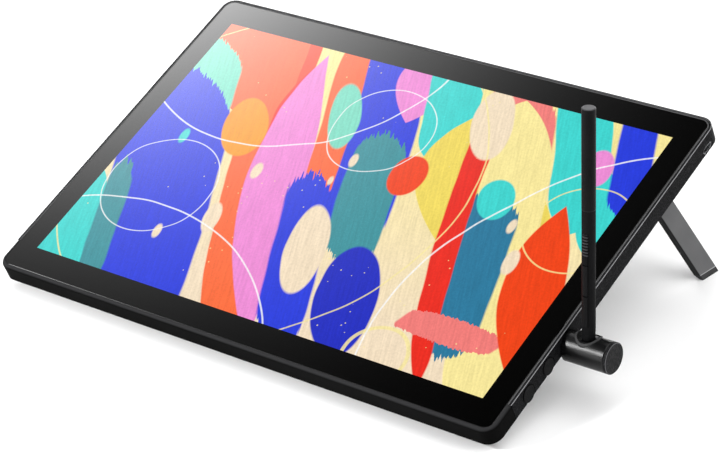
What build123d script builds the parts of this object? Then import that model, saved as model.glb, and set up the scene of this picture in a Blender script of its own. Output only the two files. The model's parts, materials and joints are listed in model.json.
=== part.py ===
import os
from math import atan2, cos, radians, sin, tan

from build123d import *

# Pen drawing tablet on its fold-out legs, with a pen standing in a holder on the right side.
# Millimetres. The desk is Z = 0, +X is the user's right, +Y points away from the user, +Z is up,
# and the origin is under the middle of the whole object's footprint.
# "Deck" coordinates run across the screen: x from the middle of the body, y up the screen from
# the front edge, and height above the glass face, which is negative inside the body.

os.makedirs("parts", exist_ok=True)

# ------------------------------------------------------------------ driving dimensions: body
tilt = 20.0
body_width = 381.6
body_depth = 257.8
body_corner = 9.0
knee_drop = 12.1
back_drop = 20.0
back_draft = 8.0
wall = 2.0
smallest_corner = 2.0
seat_gap = 0.05
stack_gap = 0.1

screen_width = 344.7
screen_depth = 215.4
screen_front = 20.85
screen_center = screen_front + screen_depth / 2

glass_inset = 2.6
glass_thickness = 1.1
glass_chamfer = 0.25
rim_drop = 0.1
rim_thickness = 1.0
rim_chamfer = 0.35
rebate_drop = 2.6
lip_outside = 1.7
lip_inside = 2.5
lip_drop = 0.15
seam_back = 22.45
seam_gap = 0.4
trim_round = 2.2
trim_top_drop = 0.05

# ------------------------------------------------------------------ feet and legs
foot_proud = 1.0
foot_bury = 0.8
foot_front = 10.35
foot_depth = 8.0
foot_length = 60.0
rear_foot_length = 30.0
rear_foot_y = 239.35
foot_x = 120.0

leg_splay = 19.7
leg_thickness = 5.2
leg_front = 209.35
leg_width = 14.6
leg_round = 0.7
leg_reach = 130.0
hinge_x = 157.85
hinge_drop = back_drop - leg_thickness / 2
hinge_pin_radius = 1.2
hinge_running_gap = 0.05
ear_thickness = 3.3
ear_gap = 0.3
pocket_depth = 5.6
pocket_gap = 0.6
pocket_wall = 1.7
pocket_inner_end = 69.0
pocket_outer_end = 164.5
finger_scoop_radius = 9.0
pad_height = 3.2
pad_chamfer = 3.1

# ------------------------------------------------------------------ sockets and pen holder
socket_first = 38.05
socket_pitch = 21.25
socket_drop = 7.6
socket_radius = 3.8
socket_boss_radius = 5.0
socket_mouth_radius = 6.0
socket_mouth_depth = 0.6
socket_boss_end = 183.2
socket_floor = 184.4
plug_radius = 5.4
plug_proud = 0.3
plug_stem_radius = 3.5
plug_stem_end = 186.0
plug_stem_wall = 1.0
plug_round = 0.25

holder_y = socket_first + 2 * socket_pitch
holder_drop = 11.9
holder_radius = 9.5
holder_reach = 30.2
holder_gap = 0.3
journal_radius = 4.0
journal_length = 5.4
cap_thickness = 1.9
cap_chamfer = 0.6
cap_plug_radius = 6.8
cap_plug_wall = 1.2
cap_plug_length = 2.4
chamber_radius = 7.1
chamber_depth = 8.0
collar_outer = 7.8
collar_inner = 6.8
collar_proud = 0.7
collar_bury = 0.9
collar_root = 5.5
drum_chamfer = 0.4

# ------------------------------------------------------------------ pen, measured from its tip
pen_lean = 23.4
pen_length = 153.0
pen_tip_below_axis = 3.5
pen_x = 203.75
pen_front_radius = 4.0
pen_rear_radius = 4.05
pen_bore = 2.9
pen_seam = 91.9
pen_ring_height = 0.6
pen_cap_height = 2.6
nose_top = 12.0
nose_mouth_radius = 1.3
nib_radius = 0.8
nib_length = 14.0
nib_show = 1.4
pen_hole_radius = 3.95
tip_well_depth = 0.8
tip_well_radius = 1.2
tip_cone_radius = 1.7
tip_cone_height = 1.2
well_bottom = 10.8
well_top = 11.8
switch_first = 30.0
switch_pitch = 19.3
switch_length = 18.6
switch_width = 3.4
switch_proud = 0.35
switch_reach = 6.0
switch_gap = 0.3
switch_depth = 1.2
nib_point_radius = 0.45
nib_point_height = 0.15
nib_cone_height = 1.6
nose_step = 0.2
nose_socket_depth = 3.0
nose_socket_radius = 2.1
nose_web = 2.0
joint_gap = 0.02
nib_bore_gap = 0.08
front_barrel_step = 0.15
front_barrel_swell = 6.0
ring_inset = 0.12
cap_spigot_length = 5.0
cap_crown = 0.5
coil_span = (17.0, 26.0)
coil_radii = (1.3, 2.4)
sensor_span = (27.0, 33.0)
circuit_start = 34.0
circuit_length = 78.0
circuit_section = (4.4, 0.8)

# ------------------------------------------------------------------ inside the body
panel_width = 352.0
panel_depth = 223.0
panel_top = -1.15
panel_thickness = 1.4
guide_thickness = 2.0
tray_sheet = 0.6
tray_margin = 2.0
sensor_top = -5.6
sensor_thickness = 1.0
shield_top = -6.7
shield_thickness = 0.5
frame_inner = 12.0
frame_wall = 2.0
frame_plate_bottom = -2.5
frame_wall_bottom = -7.0
board_top = -10.2
board_thickness = 1.2
board_width = 180.0
board_depth = 60.0
board_y = 128.85
port_drop = 9.5
port_y = 242.85
port_width = 9.2
port_height = 3.5
port_wall = 0.3
port_length = 7.3
port_gap = 0.3
hdmi_y = 221.35
hdmi_width = 15.0
hdmi_height = 5.2
hdmi_drop = 8.8
hdmi_corner = 1.2
hdmi_opening_corner = 1.0
button_x = 150.0
button_drop = 7.0
button_width = 12.0
button_height = 4.0
button_travel = 0.5
button_gap = 0.3
arm_pitch = 75.0
arm_center = 128.85
insert_radius = 3.5
insert_bore = 2.0
insert_length = 6.0

# ------------------------------------------------------------------ datum planes
rise = radians(tilt)
half_width = body_width / 2
contact_drop = back_drop + foot_proud
front_overhang = trim_round * (cos(rise) + sin(rise) - 1)
rear_overhang = body_depth * cos(rise) + knee_drop * sin(rise)
deck = Plane(
    origin=(
        -(holder_reach - plug_proud) / 2,
        -(front_overhang + rear_overhang) / 2,
        contact_drop * cos(rise) - foot_front * sin(rise),
    ),
    x_dir=(1, 0, 0),
    z_dir=(0, -sin(rise), cos(rise)),
)
deck_up = Axis(deck.origin, deck.z_dir)
deck_back = Axis(deck.origin, deck.y_dir)
deck_right = Axis(deck.origin, deck.x_dir)
middle = Plane(origin=deck.origin, x_dir=deck.y_dir, z_dir=deck.x_dir)


def level(height):
    """Plane parallel to the screen, at a height above the glass face."""
    return deck.offset(height)


def side_plane(side, x, y, height):
    """Plane that looks out of the body's right (side 1) or left (side -1) wall."""
    return Plane(
        origin=deck.from_local_coords((side * x, y, height)),
        x_dir=deck.y_dir * side,
        z_dir=deck.x_dir * side,
    )


def rear_plane(x, y, height):
    """Plane that looks out of the body's rear wall."""
    return Plane(origin=deck.from_local_coords((x, y, height)), x_dir=-deck.x_dir, z_dir=deck.y_dir)


def outline(inset, height):
    """The body's rounded plan outline, moved inwards by inset."""
    radius = max(body_corner - inset, smallest_corner)
    with BuildSketch(level(height)) as plan:
        with Locations((0, body_depth / 2)):
            RectangleRounded(body_width - 2 * inset, body_depth - 2 * inset, radius)
    return plan.sketch


def sheet(width, depth, height, y=screen_center, x=0.0, radius=1.0):
    """A rounded rectangle parallel to the screen, centred on a deck point."""
    with BuildSketch(level(height)) as plan:
        with Locations((x, y)):
            RectangleRounded(width, depth, radius)
    return plan.sketch


def discs(points, radius, height):
    """Equal discs parallel to the screen."""
    with BuildSketch(level(height)) as plan:
        with Locations(*points):
            Circle(radius)
    return plan.sketch


def front_zone(height, back_edge):
    """A strip across the whole front of the body, as far back as back_edge."""
    margin = 1.0
    with BuildSketch(level(height)) as plan:
        with Locations((0, (back_edge - margin) / 2)):
            Rectangle(body_width + 2 * margin, back_edge + margin)
    return plan.sketch


def save(builder, name):
    """Labels one finished piece and writes its file."""
    builder.part.label = name
    export_step(builder.part, f"parts/{name}.step")


# ------------------------------------------------------------------ glass, frame and trim
with BuildPart() as cover_glass:
    extrude(outline(glass_inset, -glass_thickness), amount=glass_thickness)
    chamfer(cover_glass.faces().sort_by(deck_up)[-1].edges(), glass_chamfer)
save(cover_glass, "cover_glass")

side_post_x = 179.5
side_post_ys = (110.0, 190.0)
end_post_x = 60.0
end_post_ys = (13.5, 245.5)
post_points = [(sx * side_post_x, y) for sx in (-1, 1) for y in side_post_ys]
post_points += [(sx * end_post_x, y) for sx in (-1, 1) for y in end_post_ys]
post_radius = 2.2
post_hole_depth = 8.0
screw_radius = 1.2
screw_head_radius = 2.0
screw_head_height = 1.1
screw_hole_margin = 0.2
screw_counterbore = 1.2
screw_seat_drop = back_drop - screw_counterbore
screw_tip_drop = 10.0
glass_bed = -glass_thickness - seat_gap

with BuildPart() as bezel_frame:
    extrude(outline(lip_outside, frame_plate_bottom), amount=glass_bed - frame_plate_bottom)
    extrude(outline(lip_outside, glass_bed), amount=-glass_bed - lip_drop)
    extrude(outline(lip_inside, glass_bed), amount=-glass_bed, mode=Mode.SUBTRACT)
    extrude(front_zone(glass_bed, seam_back), amount=-glass_bed, mode=Mode.SUBTRACT)
    extrude(
        outline(frame_inner - frame_wall, frame_wall_bottom), amount=frame_plate_bottom - frame_wall_bottom
    )
    extrude(outline(frame_inner, frame_wall_bottom), amount=-frame_wall_bottom, mode=Mode.SUBTRACT)
    extrude(discs(post_points, post_radius, -back_drop + wall), amount=back_drop - wall + frame_plate_bottom)
    extrude(
        discs(post_points, screw_radius, -back_drop + wall), amount=post_hole_depth, mode=Mode.SUBTRACT
    )
save(bezel_frame, "bezel_frame")

with BuildPart() as front_trim:
    extrude(outline(0, -knee_drop), amount=knee_drop - trim_top_drop)
    fillet(front_trim.faces().sort_by(deck_up)[-1].edges(), trim_round)
    extrude(outline(wall, -knee_drop), amount=knee_drop - rebate_drop, mode=Mode.SUBTRACT)
    extrude(outline(rim_thickness, -rebate_drop), amount=rebate_drop - glass_thickness, mode=Mode.SUBTRACT)
    extrude(outline(lip_inside - seat_gap, -glass_thickness), amount=glass_thickness, mode=Mode.SUBTRACT)
    extrude(front_zone(-knee_drop, seam_back - seam_gap), amount=knee_drop, mode=Mode.INTERSECT)
save(front_trim, "front_trim")

# ------------------------------------------------------------------ back cover
slope = atan2(back_drop - knee_drop, back_draft)
slope_shift = wall / sin(slope)
inner_floor = back_drop - wall
inner_knee = knee_drop - (slope_shift - wall) * tan(slope)
inner_inset = slope_shift + (inner_floor - knee_drop) / tan(slope)

socket_ys = [socket_first + step * socket_pitch for step in range(3)]
arm_points = [
    (sx * arm_pitch / 2, arm_center + sy * arm_pitch / 2) for sx in (-1, 1) for sy in (-1, 1)
]
board_post_spread = (84.0, 24.0)
board_post_points = [
    (sx * board_post_spread[0], board_y + sy * board_post_spread[1]) for sx in (-1, 1) for sy in (-1, 1)
]
board_post_radius = 2.6
board_screw_radius = 1.0
board_screw_length = 4.0
board_screw_head_radius = 2.0
board_screw_head_height = 1.2
board_hole_margin = 0.15
boss_bury = 0.5
boss_rise = 1.0
pocket_top = -back_drop + pocket_depth
hinge_zone_reach = 6.0
hinge_zone_margin = 0.5
hinge_zone_inner = hinge_x - hinge_zone_reach
hinge_zone_half = leg_width / 2 + ear_gap + ear_thickness + hinge_zone_margin
finger_scoop_offset = 12.0
bracket_screw_reach = 4.2
bracket_screw_radius = 0.8
bracket_screw_head_radius = 1.4
bracket_screw_head_height = 1.0
pilot_skin = 0.2
pilot_end_gap = 0.2
leg_middle = leg_front + leg_width / 2
vent_slot = (2.0, 14.0)
vent_count = 22
vent_pitch = 4.2
vent_y = 189.35


def pocket(side, grow, height):
    """Plan of one leg pocket with its wider hinge end and finger scoop, grown by a margin."""
    long_side = pocket_outer_end - pocket_inner_end
    hinge_side = pocket_outer_end - hinge_zone_inner
    with BuildSketch(level(height)) as plan:
        with Locations((side * (pocket_outer_end - long_side / 2), leg_middle)):
            Rectangle(long_side + 2 * grow, leg_width + 2 * pocket_gap + 2 * grow)
        with Locations((side * (pocket_outer_end - hinge_side / 2), leg_middle)):
            Rectangle(hinge_side + 2 * grow, 2 * hinge_zone_half + 2 * grow)
        with Locations((side * (pocket_inner_end + finger_scoop_offset), leg_front)):
            Circle(finger_scoop_radius + grow)
    return plan.sketch


def feet_plan(length, y, height):
    """Two long pills, the plan of one row of rubber feet."""
    with BuildSketch(level(height)) as plan:
        with Locations((-foot_x, y), (foot_x, y)):
            SlotOverall(length, foot_depth)
    return plan.sketch


front_foot_y = foot_front + foot_depth / 2
feet_rows = {
    "front_feet": (foot_length, front_foot_y),
    "rear_feet": (rear_foot_length, rear_foot_y),
}

with BuildPart() as back_cover:
    extrude(outline(0, -knee_drop), amount=knee_drop - rim_drop)
    chamfer(back_cover.faces().sort_by(deck_up)[-1].edges(), rim_chamfer)
    loft([outline(0, -knee_drop), outline(back_draft, -back_drop)])
    extrude(outline(wall, -inner_knee), amount=inner_knee, mode=Mode.SUBTRACT)
    loft([outline(wall, -inner_knee), outline(inner_inset, -inner_floor)], mode=Mode.SUBTRACT)
    extrude(outline(rim_thickness, -rebate_drop), amount=rebate_drop, mode=Mode.SUBTRACT)
    extrude(front_zone(-knee_drop, seam_back), amount=knee_drop, mode=Mode.SUBTRACT)

    # Leg pockets, seen from inside as raised troughs.
    for side in (-1, 1):
        extrude(pocket(side, pocket_wall, -back_drop), amount=pocket_depth + pocket_wall)
    for side in (-1, 1):
        extrude(pocket(side, 0, -back_drop), amount=pocket_depth, mode=Mode.SUBTRACT)

    # Seats for the rubber feet.
    for length, y in feet_rows.values():
        extrude(feet_plan(length, y, -back_drop), amount=foot_bury, mode=Mode.SUBTRACT)

    # Bosses for the arm inserts and posts for the main board.
    extrude(
        discs(arm_points, insert_radius + wall, -inner_floor - boss_bury),
        amount=insert_length - wall + boss_bury + boss_rise,
    )
    extrude(discs(arm_points, insert_radius, -back_drop), amount=insert_length, mode=Mode.SUBTRACT)
    extrude(
        discs(board_post_points, board_post_radius, -inner_floor - boss_bury),
        amount=inner_floor + boss_bury + board_top - board_thickness,
    )
    extrude(
        discs(board_post_points, board_screw_radius, board_top - board_thickness - board_screw_length),
        amount=board_screw_length,
        mode=Mode.SUBTRACT,
    )

    # Screw seats, vents.
    extrude(
        discs(post_points, screw_radius + screw_hole_margin, -back_drop),
        amount=wall + stack_gap,
        mode=Mode.SUBTRACT,
    )
    extrude(
        discs(post_points, screw_head_radius + screw_hole_margin, -back_drop),
        amount=screw_counterbore,
        mode=Mode.SUBTRACT,
    )
    with BuildSketch(level(-back_drop)):
        with Locations((0, vent_y)):
            with GridLocations(vent_pitch, 1, vent_count, 1):
                SlotOverall(vent_slot[1], vent_slot[0], rotation=90)
    extrude(amount=wall, mode=Mode.SUBTRACT)

    # Sockets for the pen holder: a boss inside, a round hole, and a shallow mouth outside.
    for side in (-1, 1):
        for y in socket_ys:
            with BuildSketch(side_plane(side, socket_boss_end, y, -socket_drop)):
                Circle(socket_boss_radius)
            extrude(amount=half_width - wall / 2 - socket_boss_end)
            with BuildSketch(side_plane(side, socket_floor, y, -socket_drop)):
                Circle(socket_radius)
            extrude(amount=half_width - socket_floor, mode=Mode.SUBTRACT)
            with BuildSketch(side_plane(side, half_width - socket_mouth_depth, y, -socket_drop)):
                Circle(socket_mouth_radius)
            extrude(amount=socket_mouth_depth, mode=Mode.SUBTRACT)

    # Port openings and the power button's opening.
    for side in (-1, 1):
        with BuildSketch(side_plane(side, half_width - 2 * wall, port_y, -port_drop)):
            RectangleRounded(
                port_width + 2 * port_gap, port_height + 2 * port_gap, (port_height + port_gap) / 2
            )
        extrude(amount=2 * wall, mode=Mode.SUBTRACT)
    with BuildSketch(side_plane(-1, half_width - 2 * wall, hdmi_y, -hdmi_drop)):
        RectangleRounded(hdmi_width + 2 * port_gap, hdmi_height + 2 * port_gap, hdmi_opening_corner)
    extrude(amount=2 * wall, mode=Mode.SUBTRACT)
    with BuildSketch(rear_plane(button_x, body_depth - 2 * wall, -button_drop)):
        SlotOverall(button_width + 2 * button_gap, button_height + 2 * button_gap)
    extrude(amount=2 * wall, mode=Mode.SUBTRACT)

    # Pilot holes for the hinge bracket screws.
    bracket_screw_x = hinge_x + bracket_screw_reach
    bracket_screw_offset = leg_width / 2 + ear_gap + ear_thickness / 2
    bracket_points = [
        (sx * bracket_screw_x, leg_middle + sy * bracket_screw_offset) for sx in (-1, 1) for sy in (-1, 1)
    ]
    extrude(
        discs(bracket_points, bracket_screw_radius, pocket_top),
        amount=pocket_wall - pilot_skin,
        mode=Mode.SUBTRACT,
    )
save(back_cover, "back_cover")

# ------------------------------------------------------------------ display stack
with BuildPart() as display_panel:
    extrude(sheet(panel_width, panel_depth, panel_top), amount=-panel_thickness)
save(display_panel, "display_panel")

guide_top = panel_top - panel_thickness - stack_gap
guide_shift = 0.8
guide_margin = (2.0, 2.6)
with BuildPart() as light_guide:
    extrude(
        sheet(
            panel_width - guide_margin[0],
            panel_depth - guide_margin[1],
            guide_top,
            y=screen_center + guide_shift,
        ),
        amount=-guide_thickness,
    )
save(light_guide, "light_guide")

led_depth = 1.2
led_bar_margin = 12.0
with BuildPart() as led_bar:
    led_y = screen_center - panel_depth / 2 + led_depth / 2 - stack_gap
    extrude(
        sheet(panel_width - led_bar_margin, led_depth, guide_top, y=led_y, radius=0.2),
        amount=-guide_thickness,
    )
save(led_bar, "led_bar")

tray_floor = guide_top - guide_thickness - seat_gap
with BuildPart() as backlight_tray:
    extrude(
        sheet(panel_width + tray_margin, panel_depth + tray_margin, guide_top),
        amount=tray_floor - tray_sheet - guide_top,
    )
    extrude(
        sheet(
            panel_width + tray_margin - 2 * tray_sheet,
            panel_depth + tray_margin - 2 * tray_sheet,
            guide_top,
        ),
        amount=tray_floor - guide_top,
        mode=Mode.SUBTRACT,
    )
save(backlight_tray, "backlight_tray")

with BuildPart() as pen_sensor_board:
    extrude(sheet(panel_width, panel_depth, sensor_top), amount=-sensor_thickness)
save(pen_sensor_board, "pen_sensor_board")

shield_hole_margin = 40.0
shield_hole_radius = 4.0
with BuildPart() as shield_plate:
    extrude(sheet(panel_width, panel_depth, shield_top), amount=-shield_thickness)
    with BuildSketch(level(shield_top)):
        with Locations((0, screen_center)):
            with GridLocations(panel_width - shield_hole_margin, panel_depth - shield_hole_margin, 2, 2):
                Circle(shield_hole_radius)
    extrude(amount=-shield_thickness, mode=Mode.SUBTRACT)
save(shield_plate, "shield_plate")

# ------------------------------------------------------------------ electronics
board_bottom = board_top - board_thickness
with BuildPart() as main_board:
    extrude(sheet(board_width, board_depth, board_top, y=board_y, radius=2.0), amount=-board_thickness)
    extrude(
        discs(board_post_points, board_screw_radius + board_hole_margin, board_bottom),
        amount=board_thickness,
        mode=Mode.SUBTRACT,
    )
save(main_board, "main_board")

# Chips on the main board: middle x, middle y, width, depth, height.
chip_places = [
    (-20.0, 130.0, 17.0, 17.0, 1.8),
    (14.0, 134.0, 11.0, 9.0, 1.2),
    (32.0, 124.0, 8.0, 8.0, 1.0),
    (-52.0, 124.0, 12.0, 8.0, 2.4),
    (58.0, 136.0, 14.0, 10.0, 2.0),
    (-62.0, 142.0, 7.0, 7.0, 1.4),
]
with BuildPart() as board_chips:
    for x, y, width, depth, height in chip_places:
        extrude(sheet(width, depth, board_bottom, y=y, x=x, radius=0.3), amount=-height)
save(board_chips, "board_chips")

with BuildPart() as board_screws:
    extrude(
        discs(board_post_points, board_screw_radius, board_top - board_screw_length),
        amount=board_screw_length,
    )
    extrude(discs(board_post_points, board_screw_head_radius, board_top), amount=board_screw_head_height)
save(board_screws, "board_screws")

ribbon = 0.2
ribbon_half = 12.5
display_ribbon_path = [(158.0, -9.95), (170.0, -8.2), (243.9, -8.2), (243.9, -1.85), (240.9, -1.85)]
ribbon_side = Plane(
    origin=deck.from_local_coords((ribbon_half, 0, 0)), x_dir=deck.y_dir, z_dir=deck.x_dir
)
with BuildPart() as display_ribbon:
    with BuildSketch(ribbon_side):
        with BuildLine():
            Polyline(*display_ribbon_path)
        trace(line_width=ribbon)
    extrude(amount=-2 * ribbon_half)
save(display_ribbon, "display_ribbon")

port_board_length = 18.0
port_board_right_place = (178.0, 241.0)
port_board_right_depth = 20.0
port_board_left_place = (-177.8, 230.0)
port_board_left_depth = 40.0
with BuildPart() as port_board_right:
    board_x, board_middle = port_board_right_place
    board_face = -port_drop - port_height / 2 - stack_gap
    extrude(
        sheet(port_board_length, port_board_right_depth, board_face, y=board_middle, x=board_x),
        amount=-board_thickness,
    )
save(port_board_right, "port_board_right")

with BuildPart() as port_board_left:
    board_x, board_middle = port_board_left_place
    board_face = -hdmi_drop - hdmi_height / 2 - stack_gap
    extrude(
        sheet(port_board_length, port_board_left_depth, board_face, y=board_middle, x=board_x),
        amount=-board_thickness,
    )
save(port_board_left, "port_board_left")

port_ribbon_path = [(169.5, 236.0), (104.0, 236.0), (104.0, 140.0), (90.5, 140.0)]
port_ribbon_width = 7.0
port_ribbon_top = -11.0
with BuildPart() as port_ribbons:
    with BuildSketch(level(port_ribbon_top)):
        for side in (-1, 1):
            with BuildLine():
                Polyline(*[(side * x, y) for x, y in port_ribbon_path])
            trace(line_width=port_ribbon_width)
    extrude(amount=-ribbon)
save(port_ribbons, "port_ribbons")


port_setback = 0.3
mouth = half_width - port_setback
usb_corner = port_height / 2 - seat_gap


def port_shell(side, y, drop, width, height, corner):
    """A stamped metal port shell, open at the wall."""
    with BuildPart() as shell:
        with BuildSketch(side_plane(side, mouth - port_length, y, -drop)):
            RectangleRounded(width, height, corner)
        extrude(amount=port_length)
        with BuildSketch(side_plane(side, mouth - port_length + port_wall, y, -drop)):
            RectangleRounded(width - 2 * port_wall, height - 2 * port_wall, corner - port_wall)
        extrude(amount=port_length, mode=Mode.SUBTRACT)
    return shell


usb_port_right = port_shell(1, port_y, port_drop, port_width, port_height, usb_corner)
save(usb_port_right, "usb_port_right")
usb_port_left = port_shell(-1, port_y, port_drop, port_width, port_height, usb_corner)
save(usb_port_left, "usb_port_left")
hdmi_port = port_shell(-1, hdmi_y, hdmi_drop, hdmi_width, hdmi_height, hdmi_corner)
save(hdmi_port, "hdmi_port")

tongue_length = 5.6
usb_tongue = (6.7, 0.7)
hdmi_tongue = (11.0, 1.0)
with BuildPart() as port_tongues:
    root = mouth - port_length + port_wall
    for side in (-1, 1):
        with BuildSketch(side_plane(side, root, port_y, -port_drop)):
            Rectangle(*usb_tongue)
        extrude(amount=tongue_length)
    with BuildSketch(side_plane(-1, root, hdmi_y, -hdmi_drop)):
        Rectangle(*hdmi_tongue)
    extrude(amount=tongue_length)
save(port_tongues, "port_tongues")

# ------------------------------------------------------------------ power button
button_flange = 0.8
button_flange_spread = (2.4, 2.0)
button_proud = 0.3
button_round = 0.4
button_inner = body_depth - wall - stack_gap
with BuildPart() as power_button:
    with BuildSketch(rear_plane(button_x, button_inner - button_flange, -button_drop)):
        SlotOverall(button_width, button_height)
    extrude(amount=body_depth - button_inner + button_flange + button_proud)
    fillet(power_button.faces().sort_by(deck_back)[-1].edges(), button_round)
    with BuildSketch(rear_plane(button_x, button_inner - button_flange, -button_drop)):
        SlotOverall(button_width + button_flange_spread[0], button_height + button_flange_spread[1])
    extrude(amount=button_flange)
save(power_button, "power_button")

contact_gap = 0.15
contact_size = 6.0
contact_height = 2.8
contact_tip_radius = 1.5
contact_tip_height = 0.8
contact_face = button_inner - button_flange - button_travel - contact_gap
contact_base = contact_face - contact_height - contact_tip_height
with BuildPart() as power_switch:
    with BuildSketch(rear_plane(button_x, contact_base, -button_drop)):
        Rectangle(contact_size, contact_size)
    extrude(amount=contact_height)
    with BuildSketch(rear_plane(button_x, contact_face - contact_tip_height, -button_drop)):
        Circle(contact_tip_radius)
    extrude(amount=contact_tip_height)
save(power_switch, "power_switch")

power_board_size = (18.0, 7.6)
power_board_thickness = 1.0
with BuildPart() as power_board:
    with BuildSketch(rear_plane(button_x, contact_base - power_board_thickness, -button_drop)):
        Rectangle(*power_board_size)
    extrude(amount=power_board_thickness)
save(power_board, "power_board")

# ------------------------------------------------------------------ fasteners, inserts and feet
hex_radius = 1.1
hex_depth = 0.7
with BuildPart() as case_screws:
    extrude(discs(post_points, screw_head_radius, -screw_seat_drop), amount=-screw_head_height)
    extrude(discs(post_points, screw_radius, -screw_seat_drop), amount=screw_seat_drop - screw_tip_drop)
    with BuildSketch(level(-screw_seat_drop - screw_head_height)):
        with Locations(*post_points):
            RegularPolygon(hex_radius, 6)
    extrude(amount=hex_depth, mode=Mode.SUBTRACT)
save(case_screws, "case_screws")

with BuildPart() as arm_inserts:
    extrude(discs(arm_points, insert_radius, -back_drop), amount=insert_length)
    extrude(discs(arm_points, insert_bore, -back_drop), amount=insert_length, mode=Mode.SUBTRACT)
save(arm_inserts, "arm_inserts")

for name, (length, y) in feet_rows.items():
    with BuildPart() as feet:
        extrude(feet_plan(length, y, -back_drop - foot_proud), amount=foot_proud + foot_bury)
    save(feet, name)

# ------------------------------------------------------------------ legs
leg_down = deck.x_dir * sin(radians(leg_splay)) - deck.z_dir * cos(radians(leg_splay))
leg_side = Plane(
    origin=deck.from_local_coords((hinge_x, leg_front, -hinge_drop)), x_dir=leg_down, z_dir=deck.y_dir
)
pad_top = Plane.XY.offset(pad_height)


def leg_profile():
    """Side view of a leg: a strip with a round barrel at the hinge."""
    with BuildSketch(leg_side) as profile:
        Rectangle(leg_reach, leg_thickness, align=(Align.MIN, Align.CENTER))
        Circle(leg_thickness / 2)
    return profile.sketch


with BuildPart() as leg_blank:
    extrude(leg_profile(), amount=leg_width)
    split(bisect_by=Plane.XY, keep=Keep.TOP)
    sole = leg_blank.faces().sort_by(Axis.Z)[0]
    chamfer(sole.edges().sort_by(Axis.X)[0], pad_chamfer)
    long_edges = leg_blank.edges().filter_by(Axis(deck.origin, leg_down))
    fillet(long_edges, leg_round)

with BuildPart() as leg_right:
    add(leg_blank.part)
    split(bisect_by=pad_top, keep=Keep.TOP)
    with BuildSketch(leg_side):
        Circle(hinge_pin_radius + hinge_running_gap)
    extrude(amount=leg_width, mode=Mode.SUBTRACT)
save(leg_right, "leg_right")

with BuildPart() as leg_pad_right:
    add(leg_blank.part)
    split(bisect_by=pad_top, keep=Keep.BOTTOM)
save(leg_pad_right, "leg_pad_right")

ear_front = leg_front - ear_gap - ear_thickness
ear_span = leg_width + 2 * (ear_gap + ear_thickness)
bracket_top = pocket_top - stack_gap
bracket_height = 5.0
bracket_end_gap = 0.3
stop_gap = 1.1
stop_face = hinge_x + leg_thickness / 2 / cos(radians(leg_splay)) + stop_gap
notch_margin = 2.0
hinge_end = Plane(
    origin=deck.from_local_coords((hinge_x, ear_front, -hinge_drop)), x_dir=deck.x_dir, z_dir=deck.y_dir
)
with BuildPart() as leg_bracket_right:
    with BuildSketch(level(bracket_top)):
        with Locations(((hinge_zone_inner + pocket_outer_end) / 2, leg_middle)):
            Rectangle(pocket_outer_end - hinge_zone_inner - 2 * bracket_end_gap, ear_span)
        with Locations(((hinge_zone_inner + stop_face - notch_margin) / 2, leg_middle)):
            Rectangle(
                stop_face - hinge_zone_inner + notch_margin, leg_width + 2 * ear_gap, mode=Mode.SUBTRACT
            )
    extrude(amount=-bracket_height)
    with BuildSketch(hinge_end):
        Circle(hinge_pin_radius)
    extrude(amount=ear_span, mode=Mode.SUBTRACT)
    extrude(
        discs(bracket_points[2:], bracket_screw_radius + stack_gap, bracket_top),
        amount=-bracket_height,
        mode=Mode.SUBTRACT,
    )
    extrude(
        discs(bracket_points[2:], bracket_screw_head_radius + stack_gap, bracket_top - bracket_height),
        amount=bracket_screw_head_height + stack_gap,
        mode=Mode.SUBTRACT,
    )
save(leg_bracket_right, "leg_bracket_right")

with BuildPart() as leg_pin_right:
    with BuildSketch(hinge_end):
        Circle(hinge_pin_radius)
    extrude(amount=ear_span)
save(leg_pin_right, "leg_pin_right")

mirrored = {
    "leg_left": leg_right,
    "leg_pad_left": leg_pad_right,
    "leg_bracket_left": leg_bracket_right,
    "leg_pin_left": leg_pin_right,
}
for name, source in mirrored.items():
    with BuildPart() as twin:
        mirror(source.part, about=middle)
    save(twin, name)

with BuildPart() as bracket_screws:
    extrude(
        discs(bracket_points, bracket_screw_head_radius, bracket_top - bracket_height),
        amount=bracket_screw_head_height,
    )
    extrude(
        discs(bracket_points, bracket_screw_radius, bracket_top - bracket_height),
        amount=bracket_height + stack_gap + pocket_wall - pilot_skin - pilot_end_gap,
    )
save(bracket_screws, "bracket_screws")

# ------------------------------------------------------------------ blanking plugs
plug_places = {
    "socket_plug_right_1": (1, socket_ys[0]),
    "socket_plug_right_2": (1, socket_ys[1]),
    "socket_plug_left_1": (-1, socket_ys[0]),
    "socket_plug_left_2": (-1, socket_ys[1]),
    "socket_plug_left_3": (-1, socket_ys[2]),
}
plug_seat = half_width - socket_mouth_depth + seat_gap
for name, (side, y) in plug_places.items():
    with BuildPart() as plug:
        with BuildSketch(side_plane(side, plug_seat, y, -socket_drop)):
            Circle(plug_radius)
        extrude(amount=half_width + plug_proud - plug_seat)
        outer = plug.faces().sort_by(deck_right)[-1 if side > 0 else 0]
        fillet(outer.edges(), plug_round)
        with BuildSketch(side_plane(side, plug_stem_end, y, -socket_drop)):
            Circle(plug_stem_radius)
            Circle(plug_stem_radius - plug_stem_wall, mode=Mode.SUBTRACT)
        extrude(amount=plug_seat - plug_stem_end)
    save(plug, name)

# ------------------------------------------------------------------ pen holder
lean = radians(pen_lean)
pen_up = deck.y_dir * sin(lean) + deck.z_dir * cos(lean)
holder_point = Vector(*deck.from_local_coords((pen_x, holder_y, -holder_drop)))
pen_tip = holder_point - pen_up * pen_tip_below_axis
pen_axis = Axis(pen_tip, pen_up)
pen_profile = Plane(origin=pen_tip, x_dir=(1, 0, 0), z_dir=Vector(1, 0, 0).cross(pen_up))


def holder_plane(x):
    """Plane across the holder drum's own axis."""
    return side_plane(1, x, holder_y, -holder_drop)


def pen_plane(height):
    """Plane across the pen, at a height above its tip, with local -Y towards the user."""
    return Plane(origin=pen_tip + pen_up * height, x_dir=(1, 0, 0), z_dir=pen_up)


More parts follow.
